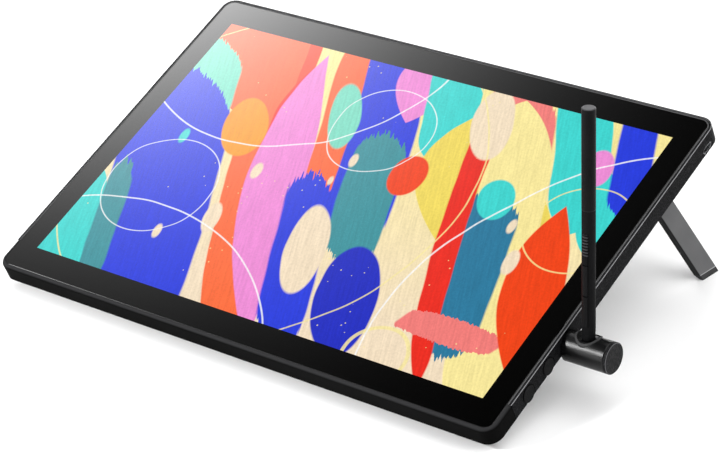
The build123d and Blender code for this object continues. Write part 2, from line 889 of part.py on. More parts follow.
drum_start = half_width + holder_gap
cap_end = half_width + holder_reach
cap_start = cap_end - cap_thickness
drum_end = cap_start - holder_gap

with BuildPart() as holder_spigot:
    with BuildSketch(side_plane(1, plug_stem_end, holder_y, -socket_drop)):
        Circle(plug_stem_radius)
    extrude(amount=plug_seat - plug_stem_end)
    with BuildSketch(side_plane(1, plug_seat, holder_y, -socket_drop)):
        Circle(plug_radius)
    extrude(amount=half_width - plug_seat)
    with BuildSketch(holder_plane(half_width)):
        Circle(journal_radius)
    extrude(amount=journal_length)
save(holder_spigot, "holder_spigot")

with BuildPart() as holder_collar:
    with BuildSketch(pen_plane(collar_root)):
        Circle(collar_outer)
        Circle(collar_inner, mode=Mode.SUBTRACT)
    extrude(amount=holder_radius + collar_proud)
    with BuildSketch(holder_plane(pen_x - 2 * collar_outer)):
        Circle(holder_radius + collar_proud)
        Circle(holder_radius - collar_bury, mode=Mode.SUBTRACT)
    extrude(amount=4 * collar_outer, mode=Mode.INTERSECT)
save(holder_collar, "holder_collar")

with BuildPart() as holder_drum:
    with BuildSketch(holder_plane(drum_start)):
        Circle(holder_radius)
    extrude(amount=drum_end - drum_start)
    chamfer(holder_drum.faces().sort_by(deck_right)[-1].edges(), drum_chamfer)
    with BuildSketch(holder_plane(drum_start)):
        Circle(journal_radius + seat_gap)
    extrude(amount=journal_length, mode=Mode.SUBTRACT)
    with BuildSketch(holder_plane(drum_end - chamber_depth)):
        Circle(chamber_radius)
    extrude(amount=chamber_depth, mode=Mode.SUBTRACT)
    with BuildSketch(pen_profile):
        with BuildLine():
            Polyline(
                (0, -tip_well_depth),
                (tip_well_radius, -tip_well_depth),
                (tip_cone_radius, tip_cone_height),
                (pen_hole_radius, well_bottom),
                (collar_inner, well_top),
                (collar_inner, 2 * nose_top),
                (0, 2 * nose_top),
                close=True,
            )
        make_face()
    revolve(axis=pen_axis, mode=Mode.SUBTRACT)
    add(holder_collar.part, mode=Mode.SUBTRACT)
save(holder_drum, "holder_drum")

with BuildPart() as holder_cap:
    with BuildSketch(holder_plane(cap_start)):
        Circle(holder_radius)
    extrude(amount=cap_thickness)
    chamfer(holder_cap.faces().sort_by(deck_right)[-1].edges(), cap_chamfer)
    with BuildSketch(holder_plane(cap_start - cap_plug_length)):
        Circle(cap_plug_radius)
        Circle(cap_plug_radius - cap_plug_wall, mode=Mode.SUBTRACT)
    extrude(amount=cap_plug_length)
save(holder_cap, "holder_cap")

spare_nib_setback = 1.6
spare_nib_drop = 5.5
spare_nib_pitch = 3.0
spare_nib_length = 10.5
with BuildPart() as spare_nibs:
    nib_bed = side_plane(
        1, drum_end - chamber_depth + spare_nib_setback, holder_y, -holder_drop - spare_nib_drop
    )
    with BuildSketch(Plane(origin=nib_bed.origin, x_dir=deck.x_dir, z_dir=deck.z_dir)):
        with Locations((0, -spare_nib_pitch), (0, 0), (0, spare_nib_pitch)):
            Circle(nib_radius)
    extrude(amount=spare_nib_length)
save(spare_nibs, "spare_nibs")

# ------------------------------------------------------------------ pen


def turned(points):
    """Half section of a turned pen piece, as (radius, height above the tip) points."""
    with BuildSketch(pen_profile) as section:
        with BuildLine():
            Polyline(*points, close=True)
        make_face()
    return section.sketch


with BuildPart() as pen_nib:
    revolve(
        turned(
            [
                (0, 0),
                (nib_point_radius, nib_point_height),
                (nib_radius, nib_cone_height),
                (nib_radius, nib_length),
                (0, nib_length),
            ]
        ),
        axis=pen_axis,
    )
save(pen_nib, "pen_nib")

nib_clearance = nib_radius + nib_bore_gap
with BuildPart() as pen_nose:
    revolve(
        turned(
            [
                (nib_clearance, nib_show),
                (nose_mouth_radius, nib_show),
                (pen_front_radius - nose_step, nose_top),
                (pen_bore, nose_top),
                (pen_bore, nose_top + nose_socket_depth),
                (nose_socket_radius, nose_top + nose_socket_depth),
                (nib_clearance, nose_top - nose_web),
            ]
        ),
        axis=pen_axis,
    )
save(pen_nose, "pen_nose")

switch_heights = [switch_first + step * switch_pitch for step in range(3)]
with BuildPart() as pen_front_barrel:
    revolve(
        turned(
            [
                (pen_bore + joint_gap, nose_top + joint_gap),
                (pen_front_radius - front_barrel_step, nose_top + joint_gap),
                (pen_front_radius, nose_top + front_barrel_swell),
                (pen_front_radius, pen_seam),
                (pen_bore + joint_gap, pen_seam),
            ]
        ),
        axis=pen_axis,
    )
    for height in switch_heights:
        with BuildSketch(pen_plane(height - switch_length / 2 - switch_gap)):
            with Locations((0, -pen_rear_radius)):
                Rectangle(switch_width + 2 * switch_gap, switch_reach)
        extrude(amount=switch_length + 2 * switch_gap, mode=Mode.SUBTRACT)
save(pen_front_barrel, "pen_front_barrel")

for name, height in zip(("pen_switch_lower", "pen_switch_middle", "pen_switch_upper"), switch_heights):
    with BuildPart() as pen_switch:
        outer_radius = pen_front_radius + switch_proud
        with BuildSketch(pen_plane(height - switch_length / 2)):
            Circle(outer_radius)
            Circle(outer_radius - switch_depth, mode=Mode.SUBTRACT)
            with Locations((0, -outer_radius)):
                Rectangle(switch_width, switch_reach, mode=Mode.INTERSECT)
        extrude(amount=switch_length)
    save(pen_switch, name)

with BuildPart() as pen_seam_ring:
    revolve(
        turned(
            [
                (pen_bore, pen_seam + joint_gap),
                (pen_rear_radius - ring_inset, pen_seam + joint_gap),
                (pen_rear_radius - ring_inset, pen_seam + pen_ring_height),
                (pen_bore, pen_seam + pen_ring_height),
            ]
        ),
        axis=pen_axis,
    )
save(pen_seam_ring, "pen_seam_ring")

rear_start = pen_seam + pen_ring_height + joint_gap
rear_end = pen_length - pen_cap_height
with BuildPart() as pen_rear_barrel:
    revolve(
        turned(
            [
                (pen_bore, rear_start),
                (pen_rear_radius, rear_start),
                (pen_rear_radius, rear_end),
                (pen_bore, rear_end),
            ]
        ),
        axis=pen_axis,
    )
save(pen_rear_barrel, "pen_rear_barrel")

with BuildPart() as pen_end_cap:
    revolve(
        turned(
            [
                (0, rear_end - cap_spigot_length),
                (pen_bore - joint_gap, rear_end - cap_spigot_length),
                (pen_bore - joint_gap, rear_end + joint_gap),
                (pen_rear_radius, rear_end + joint_gap),
                (pen_rear_radius, pen_length - cap_crown),
                (pen_rear_radius - cap_crown, pen_length),
                (0, pen_length),
            ]
        ),
        axis=pen_axis,
    )
save(pen_end_cap, "pen_end_cap")



def sleeve(inner, outer, span):
    """Half section of a plain sleeve inside the pen, between two heights above the tip."""
    low, high = span
    return turned([(inner, low), (outer, low), (outer, high), (inner, high)])


with BuildPart() as pen_coil:
    revolve(sleeve(*coil_radii, coil_span), axis=pen_axis)
save(pen_coil, "pen_coil")

with BuildPart() as pen_pressure_sensor:
    revolve(sleeve(0, coil_radii[1], sensor_span), axis=pen_axis)
save(pen_pressure_sensor, "pen_pressure_sensor")

with BuildPart() as pen_circuit:
    with BuildSketch(pen_plane(circuit_start)):
        Rectangle(*circuit_section)
    extrude(amount=circuit_length)
save(pen_circuit, "pen_circuit")
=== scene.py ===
import json
from math import cos, pi, radians, sin

import bmesh
import bpy
from mathutils import Matrix, Vector


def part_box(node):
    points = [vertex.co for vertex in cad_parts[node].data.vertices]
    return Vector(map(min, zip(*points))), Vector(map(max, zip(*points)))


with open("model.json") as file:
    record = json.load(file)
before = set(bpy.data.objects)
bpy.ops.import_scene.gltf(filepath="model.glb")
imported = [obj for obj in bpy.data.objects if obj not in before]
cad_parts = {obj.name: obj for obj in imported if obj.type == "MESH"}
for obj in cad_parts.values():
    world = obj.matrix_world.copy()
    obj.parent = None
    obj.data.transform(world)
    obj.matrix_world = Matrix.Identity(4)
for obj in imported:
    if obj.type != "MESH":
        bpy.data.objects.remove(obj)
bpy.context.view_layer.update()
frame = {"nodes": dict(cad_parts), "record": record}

# ------------------------------------------------------------------ the tablet's own axes, from the record
MOUNTS = {m["name"]: m for m in frame["record"]["mounts"]}
JOINTS = {j["name"]: j for j in frame["record"]["behaviour"]["joints"]}
UP = Vector(MOUNTS["screen_face"]["axis"]).normalized()
RIGHT = Vector((1, 0, 0))
BACK = UP.cross(RIGHT).normalized()
CENTER = Vector(MOUNTS["screen_face"]["pos_m"])
PEN_UP = Vector(JOINTS["pen_lift"]["axis"]).normalized()
SCREEN_W, SCREEN_H = 0.3447, 0.2154


def on_deck(x, y, height=0.0):
    """A point x across, y up the screen from its middle and height above the glass."""
    return CENTER + RIGHT * x + BACK * y + UP * height


# ------------------------------------------------------------------ shader helpers
class Tree:
    """A short way to write the nodes of a world or a material."""

    def __init__(self, node_tree):
        self.nodes = node_tree.nodes
        self.links = node_tree.links

    def node(self, kind, **values):
        made = self.nodes.new(kind)
        for key, value in values.items():
            setattr(made, key, value)
        return made

    def plug(self, socket, value):
        if isinstance(value, bpy.types.NodeSocket):
            self.links.new(value, socket)
        else:
            socket.default_value = value

    def math(self, operation, *values):
        made = self.node("ShaderNodeMath", operation=operation)
        for index, value in enumerate(values):
            self.plug(made.inputs[index], value)
        return made.outputs[0]

    def dot(self, vector, axis):
        made = self.node("ShaderNodeVectorMath", operation="DOT_PRODUCT")
        self.plug(made.inputs[0], vector)
        made.inputs[1].default_value = axis
        return made.outputs["Value"]

    def spread(self, value, low, high, to_low=0.0, to_high=1.0, smooth=False):
        made = self.node("ShaderNodeMapRange")
        if smooth:
            made.interpolation_type = "SMOOTHSTEP"
        self.plug(made.inputs["Value"], value)
        for key, number in zip(("From Min", "From Max", "To Min", "To Max"), (low, high, to_low, to_high)):
            self.plug(made.inputs[key], number)
        return made.outputs["Result"]

    def mix(self, factor, first, second, blend="MIX"):
        made = self.node("ShaderNodeMix", data_type="RGBA", blend_type=blend)
        self.plug(made.inputs[0], factor)
        self.plug(made.inputs[6], first)
        self.plug(made.inputs[7], second)
        return made.outputs[2]


class Material(Tree):
    """A new material's nodes, with the place of each point in the tablet's frame."""

    def __init__(self, name):
        self.material = bpy.data.materials.new(name)
        self.material.use_nodes = True
        super().__init__(self.material.node_tree)
        self.shader = self.nodes["Principled BSDF"]
        self.place = self.node("ShaderNodeTexCoord").outputs["Object"]

    def noise(self, scale, detail=3.0, roughness=0.5, vector=None):
        made = self.node("ShaderNodeTexNoise")
        self.plug(made.inputs["Vector"], vector or self.place)
        made.inputs["Scale"].default_value = scale
        made.inputs["Detail"].default_value = detail
        made.inputs["Roughness"].default_value = roughness
        return made.outputs[0]

    def stretched(self, axes, amounts):
        """The place vector measured along three axes, each scaled by its own amount."""
        made = self.node("ShaderNodeCombineXYZ")
        for index, (axis, amount) in enumerate(zip(axes, amounts)):
            self.plug(made.inputs[index], self.math("MULTIPLY", self.dot(self.place, axis), amount))
        return made.outputs[0]

    def bump(self, height, strength, distance):
        made = self.node("ShaderNodeBump")
        made.inputs["Strength"].default_value = strength
        made.inputs["Distance"].default_value = distance
        self.plug(made.inputs["Height"], height)
        return made.outputs[0]

    def finish(self, color, roughness, normal=None, **fixed):
        self.plug(self.shader.inputs["Base Color"], color)
        self.plug(self.shader.inputs["Roughness"], roughness)
        if normal:
            self.plug(self.shader.inputs["Normal"], normal)
        for key, value in fixed.items():
            self.shader.inputs[key.replace("_", " ")].default_value = value
        return self.material


def shade(hex_color):
    """Linear colour from an sRGB hex string."""
    channels = [int(hex_color[i : i + 2], 16) / 255 for i in (0, 2, 4)]
    return [c / 12.92 if c <= 0.04045 else ((c + 0.055) / 1.055) ** 2.4 for c in channels] + [1.0]


def moulded(name, color, roughness, grain=0.0, grain_scale=2600.0, specular=0.5, mottle=0.15):
    """Moulded plastic: faint cloudiness in colour and gloss, and a spark-eroded grain."""
    t = Material(name)
    cloud = t.noise(28.0, detail=4.0)
    tone = t.spread(cloud, 0.3, 0.7, 1.0 - mottle, 1.0 + mottle)
    tint = t.mix(tone, [0, 0, 0, 1], shade(color))
    fine = t.noise(grain_scale, detail=2.0, roughness=0.6)
    gloss = t.spread(t.noise(90.0, detail=5.0), 0.25, 0.75, roughness - 0.05, roughness + 0.06)
    normal = t.bump(fine, grain, 0.0004) if grain else None
    return t.finish(tint, gloss, normal, Specular_IOR_Level=specular)


def metal(name, color, roughness, along, stretch=60.0):
    """Metal with a fine grain drawn out along one axis, or even all round if the stretch is 2400."""
    t = Material(name)
    axis = Vector(along).normalized()
    side = axis.orthogonal().normalized()
    other = axis.cross(side)
    vector = t.stretched((axis, side, other), (stretch, 2400.0, 2400.0))
    scratch = t.noise(1.0, detail=3.0, vector=vector)
    darker = [channel * 0.86 for channel in shade(color)[:3]] + [1]
    tint = t.mix(t.spread(scratch, 0.3, 0.7), darker, shade(color))
    gloss = t.spread(scratch, 0.3, 0.7, roughness - 0.05, roughness + 0.08)
    return t.finish(tint, gloss, t.bump(scratch, 0.15, 0.0002), Metallic=1.0)


def rubber(name, color, roughness=0.85):
    """Matt rubber with a little pale dust on it."""
    t = Material(name)
    dust = t.noise(60.0, detail=6.0, roughness=0.65)
    tint = t.mix(t.spread(dust, 0.45, 0.8, 0.0, 0.35), shade(color), shade("4a4a4b"))
    fine = t.noise(3200.0, detail=1.0)
    return t.finish(tint, t.spread(dust, 0.2, 0.8, roughness - 0.1, roughness), t.bump(fine, 0.25, 0.0003))


def circuit(name, mask_color):
    """Solder mask with copper tracks showing through it."""
    t = Material(name)
    tracks = t.node("ShaderNodeTexBrick")
    tracks.inputs["Scale"].default_value = 160.0
    tracks.inputs["Mortar Size"].default_value = 0.012
    t.plug(tracks.inputs["Vector"], t.stretched((RIGHT, BACK, UP), (1.0, 1.0, 1.0)))
    lighter = t.mix(0.25, shade(mask_color), shade("3fae74"))
    tint = t.mix(t.math("MULTIPLY", tracks.outputs["Fac"], 0.8), shade(mask_color), lighter)
    return t.finish(tint, 0.32, t.bump(tracks.outputs["Fac"], 0.3, 0.0001))


def film(name, color):
    """Ribbon film with darker lanes across its width."""
    t = Material(name)
    lanes = t.node("ShaderNodeTexWave", bands_direction="X")
    lanes.inputs["Scale"].default_value = 260.0
    tint = t.mix(t.math("MULTIPLY", lanes.outputs["Fac"], 0.45), shade(color), shade("5e3305"))
    return t.finish(tint, t.spread(t.noise(60.0), 0.3, 0.7, 0.22, 0.34))


def diffuser(name):
    """Clear plastic whose back is printed with fine dots."""
    t = Material(name)
    cells = t.node("ShaderNodeTexVoronoi")
    cells.inputs["Scale"].default_value = 700.0
    t.plug(cells.inputs["Vector"], t.place)
    dots = t.spread(cells.outputs["Distance"], 0.15, 0.35, 1.0, 0.0)
    return t.finish(t.mix(dots, shade("c9d3da"), shade("ffffff")), 0.2, t.bump(dots, 0.15, 0.0001))


# ------------------------------------------------------------------ the picture on the screen
PALETTE = {
    "turquoise": "3fd8d2",
    "royal": "2a3fe0",
    "deep": "2430c4",
    "coral": "ff6f3c",
    "orange": "f4471a",
    "red": "ef2f22",
    "pink": "f08fd8",
    "salmon": "f4807c",
    "yellow": "f3dc62",
    "lemon": "fbeb9e",
    "cream": "f6e2c4",
    "steel": "2f7ca0",
    "teal": "3f96a0",
    "amber": "f6a017",
    "mint": "7fdcc4",
    "white": "ffffff",
}

PER_METRE = 10.0

# Brush strokes, bottom layer first, in tenths of a metre from the screen's lower left corner:
# colour, middle across, middle up, slant, bend, half length, half width, how blunt the ends are
# (2 is a leaf, 8 a bar), and how ragged they are.
STROKES = (
    ("coral", 0.30, 2.00, 0.50, 0.00, 0.55, 0.30, 6, 0.00),
    ("mint", 0.10, 1.62, 0.40, 0.00, 0.40, 0.34, 4, 0.04),
    ("royal", 0.52, 0.62, 0.44, -0.04, 1.10, 0.42, 8, 0.06),
    ("turquoise", 0.02, 0.20, 0.60, 0.00, 0.66, 0.34, 8, 0.00),
    ("teal", 0.30, 0.36, 0.42, 0.00, 0.50, 0.10, 8, 0.08),
    ("orange", 0.98, 1.18, 0.44, 0.05, 1.60, 0.19, 8, 0.00),
    ("coral", 0.90, 1.20, 0.44, 0.05, 1.60, 0.16, 8, 0.00),
    ("red", 0.98, 1.44, 0.30, 0.10, 0.52, 0.13, 2, 0.00),
    ("royal", 1.58, 1.62, 0.42, -0.06, 0.98, 0.30, 8, 0.05),
    ("coral", 1.30, 1.56, 0.40, 0.02, 1.00, 0.12, 4, 0.00),
    ("pink", 1.22, 0.96, 0.42, 0.10, 1.14, 0.22, 2, 0.00),
    ("royal", 1.72, 0.52, 0.46, 0.00, 0.66, 0.19, 8, 0.08),
    ("pink", 1.66, 2.08, 0.20, 0.00, 0.34, 0.20, 2, 0.00),
    ("teal", 1.86, 1.10, 0.34, 0.00, 0.52, 0.20, 8, 0.07),
    ("turquoise", 1.98, 1.90, 0.42, 0.00, 0.44, 0.20, 6, 0.00),
    ("salmon", 2.52, 1.86, 0.36, 0.00, 0.42, 0.24, 4, 0.05),
    ("yellow", 2.62, 1.28, 0.70, -0.10, 0.62, 0.50, 2, 0.00),
    ("lemon", 2.98, 0.90, 0.46, 0.00, 1.24, 0.24, 8, 0.00),
    ("steel", 2.84, 0.78, 0.30, 0.00, 0.64, 0.21, 8, 0.06),
    ("red", 2.52, 1.12, 0.36, 0.06, 1.20, 0.085, 8, 0.00),
    ("turquoise", 2.98, 1.86, 0.50, -0.10, 0.62, 0.20, 6, 0.00),
    ("salmon", 3.00, 0.34, -0.40, 0.00, 0.10, 0.34, 8, 0.02),
    ("orange", 3.28, 0.80, 0.30, 0.10, 0.64, 0.20, 2, 0.00),
    ("turquoise", 3.36, 1.44, 0.40, 0.00, 0.34, 0.14, 4, 0.00),
    ("royal", 3.32, 1.90, 0.42, 0.00, 0.46, 0.13, 8, 0.05),
)

# Painted ovals on top of them: colour, middle across, middle up, lean, half width, half height.
OVALS = (
    ("amber", 0.70, 1.36, 0.30, 0.17, 0.24),
    ("mint", 1.30, 1.66, 0.40, 0.12, 0.26),
    ("cream", 1.74, 0.60, 0.34, 0.15, 0.34),
    ("deep", 2.24, 0.34, 0.34, 0.22, 0.40),
    ("orange", 2.02, 1.34, 0.10, 0.13, 0.17),
    ("cream", 2.30, 1.90, 0.30, 0.15, 0.28),
    ("turquoise", 2.66, 1.36, 0.20, 0.12, 0.16),
    ("pink", 3.14, 1.78, 0.20, 0.10, 0.15),
    ("cream", 0.98, 0.62, 0.20, 0.060, 0.120),
    ("cream", 1.02, 1.06, 0.20, 0.036, 0.070),
    ("cream", 3.04, 0.94, 0.10, 0.050, 0.095),
    ("cream", 2.88, 1.20, 0.20, 0.030, 0.060),
    ("turquoise", 0.34, 1.16, 0.20, 0.032, 0.066),
    ("cream", 0.70, 0.40, 0.20, 0.030, 0.058),
    ("cream", 1.60, 1.34, 0.20, 0.030, 0.056),
    ("cream", 1.56, 1.14, 0.20, 0.019, 0.036),
)

# Drawn circles, of which the screen shows arcs: colour, middle, radius and half line width.
RINGS = (
    ("white", 0.60, 2.46, 1.24, 0.0030),
    ("lemon", 2.66, 0.02, 0.22, 0.0100),
    ("white", 4.30, 0.40, 1.80, 0.0036),
    ("lemon", 1.10, 1.10, 1.42, 0.0028),
    ("white", 0.60, -1.00, 1.60, 0.0028),
    ("lemon", 3.30, 1.30, 0.34, 0.0028),
    ("white", 1.62, 1.62, 0.36, 0.0012),
    ("white", 0.46, 0.74, 0.40, 0.0012),
)


def artwork(t):
    """Adds a painted abstract picture to a material and returns its colour socket."""
    corner = on_deck(-SCREEN_W / 2, -SCREEN_H / 2)
    wobble = t.math("SUBTRACT", t.noise(14.0, detail=2.0), 0.5)
    across = t.math("MULTIPLY_ADD", t.dot(t.place, RIGHT), PER_METRE, -PER_METRE * corner.dot(RIGHT))
    along = t.math("MULTIPLY_ADD", t.dot(t.place, BACK), PER_METRE, -PER_METRE * corner.dot(BACK))
    u = t.math("MULTIPLY_ADD", wobble, 0.10, across)
    v = t.math("MULTIPLY_ADD", wobble, -0.07, along)
    bristle_axes = (RIGHT + BACK * 0.42, BACK - RIGHT * 0.42, UP)
    bristle = t.noise(1.0, detail=4.0, vector=t.stretched(bristle_axes, (620, 40, 0)))
    ragged = t.math("SUBTRACT", bristle, 0.5)
    soft = 0.005

    color = t.mix(t.spread(v, 0.2, 1.9), shade(PALETTE["cream"]), shade(PALETTE["lemon"]))
    for name, x, y, slant, bend, reach, half, blunt, rough in STROKES:
        up = t.math("SUBTRACT", v, y)
        middle = t.math("MULTIPLY_ADD", up, slant, t.math("SUBTRACT", u, x))
        if bend:
            middle = t.math("MULTIPLY_ADD", t.math("MULTIPLY", up, up), -bend, middle)
        share = t.math("DIVIDE", t.math("ABSOLUTE", up), reach)
        if rough:
            share = t.math("MULTIPLY_ADD", ragged, 3.0 * rough / reach, share)
        width = t.math("MULTIPLY_ADD", t.math("POWER", share, blunt), -half, half)
        inside = t.math("SUBTRACT", width, t.math("ABSOLUTE", middle))
        edge = 2 * soft if rough else soft
        color = t.mix(t.spread(inside, -soft, edge), color, shade(PALETTE[name]))
    for name, x, y, lean, half, reach in OVALS:
        up = t.math("SUBTRACT", v, y)
        side = t.math("MULTIPLY_ADD", up, lean, t.math("SUBTRACT", u, x))
        side = t.math("DIVIDE", side, half)
        up = t.math("DIVIDE", up, reach)
        out = t.math("SQRT", t.math("MULTIPLY_ADD", side, side, t.math("MULTIPLY", up, up)))
        color = t.mix(t.spread(out, 1 - soft / half, 1 + soft / half, 1.0, 0.0), color, shade(PALETTE[name]))
    for name, x, y, radius, line in RINGS:
        dx = t.math("SUBTRACT", u, x)
        dy = t.math("SUBTRACT", v, y)
        reach = t.math("SQRT", t.math("MULTIPLY_ADD", dx, dx, t.math("MULTIPLY", dy, dy)))
        away = t.math("ABSOLUTE", t.math("SUBTRACT", reach, radius))
        color = t.mix(t.spread(away, line, line + soft, 0.8, 0.0), color, shade(PALETTE[name]))

    # Paint flecks, bristle marks and canvas grain.
    fleck = t.node("ShaderNodeTexVoronoi")
    fleck.inputs["Scale"].default_value = 170.0
    t.plug(fleck.inputs["Vector"], t.place)
    rare = t.math("GREATER_THAN", t.noise(22.0, detail=1.0), 0.56)
    dots = t.math("MULTIPLY", t.math("LESS_THAN", fleck.outputs["Distance"], 0.09), rare)
    color = t.mix(t.math("MULTIPLY", dots, 0.7), color, shade(PALETTE["lemon"]))
    strokes = t.spread(bristle, 0.3, 0.7, 0.89, 1.06)
    grain = t.spread(t.noise(700.0, detail=3.0), 0.3, 0.7, 0.93, 1.05)
    return t.mix(1.0, color, t.math("MULTIPLY", strokes, grain), blend="MULTIPLY")


def screen_glass(name):
    """Etched glass: black printed border, the lit picture in the middle, one soft gloss over both."""
    t = Material(name)
    from_middle = t.math("ABSOLUTE", t.math("SUBTRACT", t.dot(t.place, RIGHT), CENTER.dot(RIGHT)))
    from_center = t.math("ABSOLUTE", t.math("SUBTRACT", t.dot(t.place, BACK), CENTER.dot(BACK)))
    lit = t.math("LESS_THAN", from_middle, SCREEN_W / 2)
    lit = t.math("MULTIPLY", lit, t.math("LESS_THAN", from_center, SCREEN_H / 2))
    art = artwork(t)
    etched = t.noise(5200.0, detail=1.0)
    smear = t.noise(9.0, detail=3.0)
    t.plug(t.shader.inputs["Emission Color"], t.mix(lit, [0, 0, 0, 1], art))
    t.shader.inputs["Emission Strength"].default_value = 0.86
    base = t.mix(lit, shade("010101"), t.mix(0.92, art, [0, 0, 0, 1]))
    return t.finish(
        base, t.spread(smear, 0.3, 0.7, 0.06, 0.07), t.bump(etched, 0.01, 0.0001), Specular_IOR_Level=0.5
    )


# ------------------------------------------------------------------ materials by record slot
PEN_END = max(v.co.dot(PEN_UP) for v in frame["nodes"]["pen_end_cap"].data.vertices)
PEN_TIP = min(v.co.dot(PEN_UP) for v in frame["nodes"]["pen_nib"].data.vertices)
RIB_PITCH, RIBS_FROM, RIBS_TO = 0.00185, 0.0643, 0.0778
PAD_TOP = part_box("leg_pad_right")[1].z


def height_band(t, low, high):
    """0 below one height on the body and 1 above another, measured from the glass face."""
    level = UP.dot(CENTER)
    return t.spread(t.dot(t.place, UP), level + low, level + high)


def cover_shell(name):
    """Grained dark shell with a painted highlight along its bevelled rim."""
    t = Material(name)
    cloud = t.noise(26.0, detail=4.0)
    fine = t.noise(1300.0, detail=2.0, roughness=0.6)
    shell = t.mix(t.spread(cloud, 0.3, 0.7), shade("050506"), shade("09090a"))
    shell = t.mix(t.spread(fine, 0.48, 0.70, 0.0, 0.8), shell, shade("28282a"))
    shell = t.mix(height_band(t, -0.0142, -0.0132), shade("19191a"), shell)
    # A thin band just under the rim's top is painted light grey as a highlight on the bevelled edge.
    bevel_highlight = height_band(t, -0.00050, -0.00042)
    top = height_band(t, -0.00017, -0.00012)
    gloss = t.mix(bevel_highlight, [0.5, 0.5, 0.5, 1], [0.3, 0.3, 0.3, 1])
    color = t.mix(top, t.mix(bevel_highlight, shell, shade("868688")), shade("1d1d1e"))
    return t.finish(color, gloss, t.bump(fine, 0.7, 0.0005), Specular_IOR_Level=0.025)


def smooth_trim(name):
    """Smooth black nose of the body, with a painted highlight along its rounded top edge."""
    t = Material(name)
    cloud = t.noise(20.0, detail=3.0)
    skin = t.mix(t.spread(cloud, 0.3, 0.7), shade("080808"), shade("0d0d0d"))
    # The rounded top edge is painted lighter as a highlight.
    crown_highlight = height_band(t, -0.0014, -0.0004)
    return t.finish(
        t.mix(crown_highlight, skin, shade("2a2a2b")), t.spread(cloud, 0.3, 0.7, 0.36, 0.42), Specular_IOR_Level=0.005
    )


def brushed_plastic(name):
    """Dark satin plastic with fine brushing along the holder drum."""
    t = Material(name)
    vector = t.stretched((RIGHT, BACK, UP), (70.0, 3000.0, 3000.0))
    brushing = t.noise(1.0, detail=3.0, vector=vector)
    cloud = t.noise(70.0, detail=4.0)
    tint = t.mix(t.spread(brushing, 0.40, 0.60), shade("010101"), shade("0b0b0c"))
    gloss = t.spread(t.math("ADD", brushing, cloud), 0.7, 1.3, 0.24, 0.36)
    return t.finish(tint, gloss, t.bump(brushing, 0.16, 0.0003), Specular_IOR_Level=0.30)


def drum_end(name):
    """Coarse dark end disc inside a painted highlight along its bevelled edge."""
    t = Material(name)
    last = max(v.co.x for v in frame["nodes"]["holder_cap"].data.vertices)
    coarse = t.noise(1100.0, detail=3.0, roughness=0.6)
    skin = t.mix(t.spread(coarse, 0.45, 0.65), shade("060607"), shade("2a2a2b"))
    across = t.dot(t.place, RIGHT)
    # A thin ring near the outer rim is painted light grey as a highlight on the bevelled edge.
    bevel_highlight = t.spread(across, last - 0.00018, last - 0.00008, 1.0, 0.0)
    bevel_highlight = t.math("MULTIPLY", bevel_highlight, t.spread(across, last - 0.00044, last - 0.00034))
    return t.finish(
        t.mix(bevel_highlight, skin, shade("5c5c5e")),
        t.spread(coarse, 0.3, 0.7, 0.40, 0.52),
        t.bump(coarse, 0.6, 0.0004),
        Specular_IOR_Level=0.05,
    )


def ribbed_switch(name):
    """Pen switch crossed by fine ridges along the middle of its length, their crests painted lighter as
    highlights.
    """
    t = Material(name)
    height = t.math("SUBTRACT", t.dot(t.place, PEN_UP), PEN_TIP)
    wave = t.math("SINE", t.math("MULTIPLY", height, 2 * pi / RIB_PITCH))
    start = t.spread(height, RIBS_FROM, RIBS_FROM + 0.0004)
    stop = t.spread(height, RIBS_TO, RIBS_TO + 0.0004, 1.0, 0.0)
    ribs_and_crest_highlight = t.math("MULTIPLY", t.spread(wave, 0.0, 0.8), t.math("MULTIPLY", start, stop))
    # The ridge crests are painted lighter as highlights; the same mask raises them in the bump.
    color = t.mix(ribs_and_crest_highlight, shade("0d0d0e"), shade("39393b"))
    gloss = t.spread(t.noise(200.0), 0.3, 0.7, 0.34, 0.42)
    return t.finish(color, gloss, t.bump(ribs_and_crest_highlight, 0.6, 0.0003), Specular_IOR_Level=0.035)


def pen_shell(name):
    """Matt black pen barrel with a pale flat end."""
    t = Material(name)
    cloud = t.noise(90.0, detail=4.0)
    fine = t.noise(2600.0, detail=2.0)
    skin = t.mix(t.spread(cloud, 0.3, 0.7), shade("0d0d0e"), shade("131314"))
    end = t.spread(t.dot(t.place, PEN_UP), PEN_END - 0.0006, PEN_END - 0.0003)
    return t.finish(
        t.mix(end, skin, shade("434345")),
        t.spread(cloud, 0.3, 0.7, 0.34, 0.40),
        t.bump(fine, 0.12, 0.0002),
        Specular_IOR_Level=0.04,
    )


def leg_paint_and_shade(name):
    """Grey satin faces, with the narrow front face painted black as shade and a lighter band at the foot."""
    t = Material(name)
    first = min(v.co.dot(BACK) for v in frame["nodes"]["leg_right"].data.vertices)
    along = t.dot(t.place, BACK)
    # The narrow front face is painted black as shade; the other faces keep the grey.
    broad_unshaded = t.spread(along, first + 0.0001, first + 0.0005)
    cloud = t.noise(60.0, detail=5.0)
    fine = t.noise(1200.0, detail=2.0)
    grey = t.mix(t.spread(cloud, 0.3, 0.7), shade("505051"), shade("585859"))
    edge = t.spread(t.dot(t.place, (0, 0, 1)), PAD_TOP + 0.0007, PAD_TOP + 0.0004)
    grey = t.mix(edge, grey, shade("8c8c8e"))
    return t.finish(
        t.mix(broad_unshaded, shade("0a0a0a"), grey),
        t.spread(cloud, 0.3, 0.7, 0.40, 0.48),
        t.bump(fine, 0.15, 0.0003),
        Specular_IOR_Level=0.15,
    )


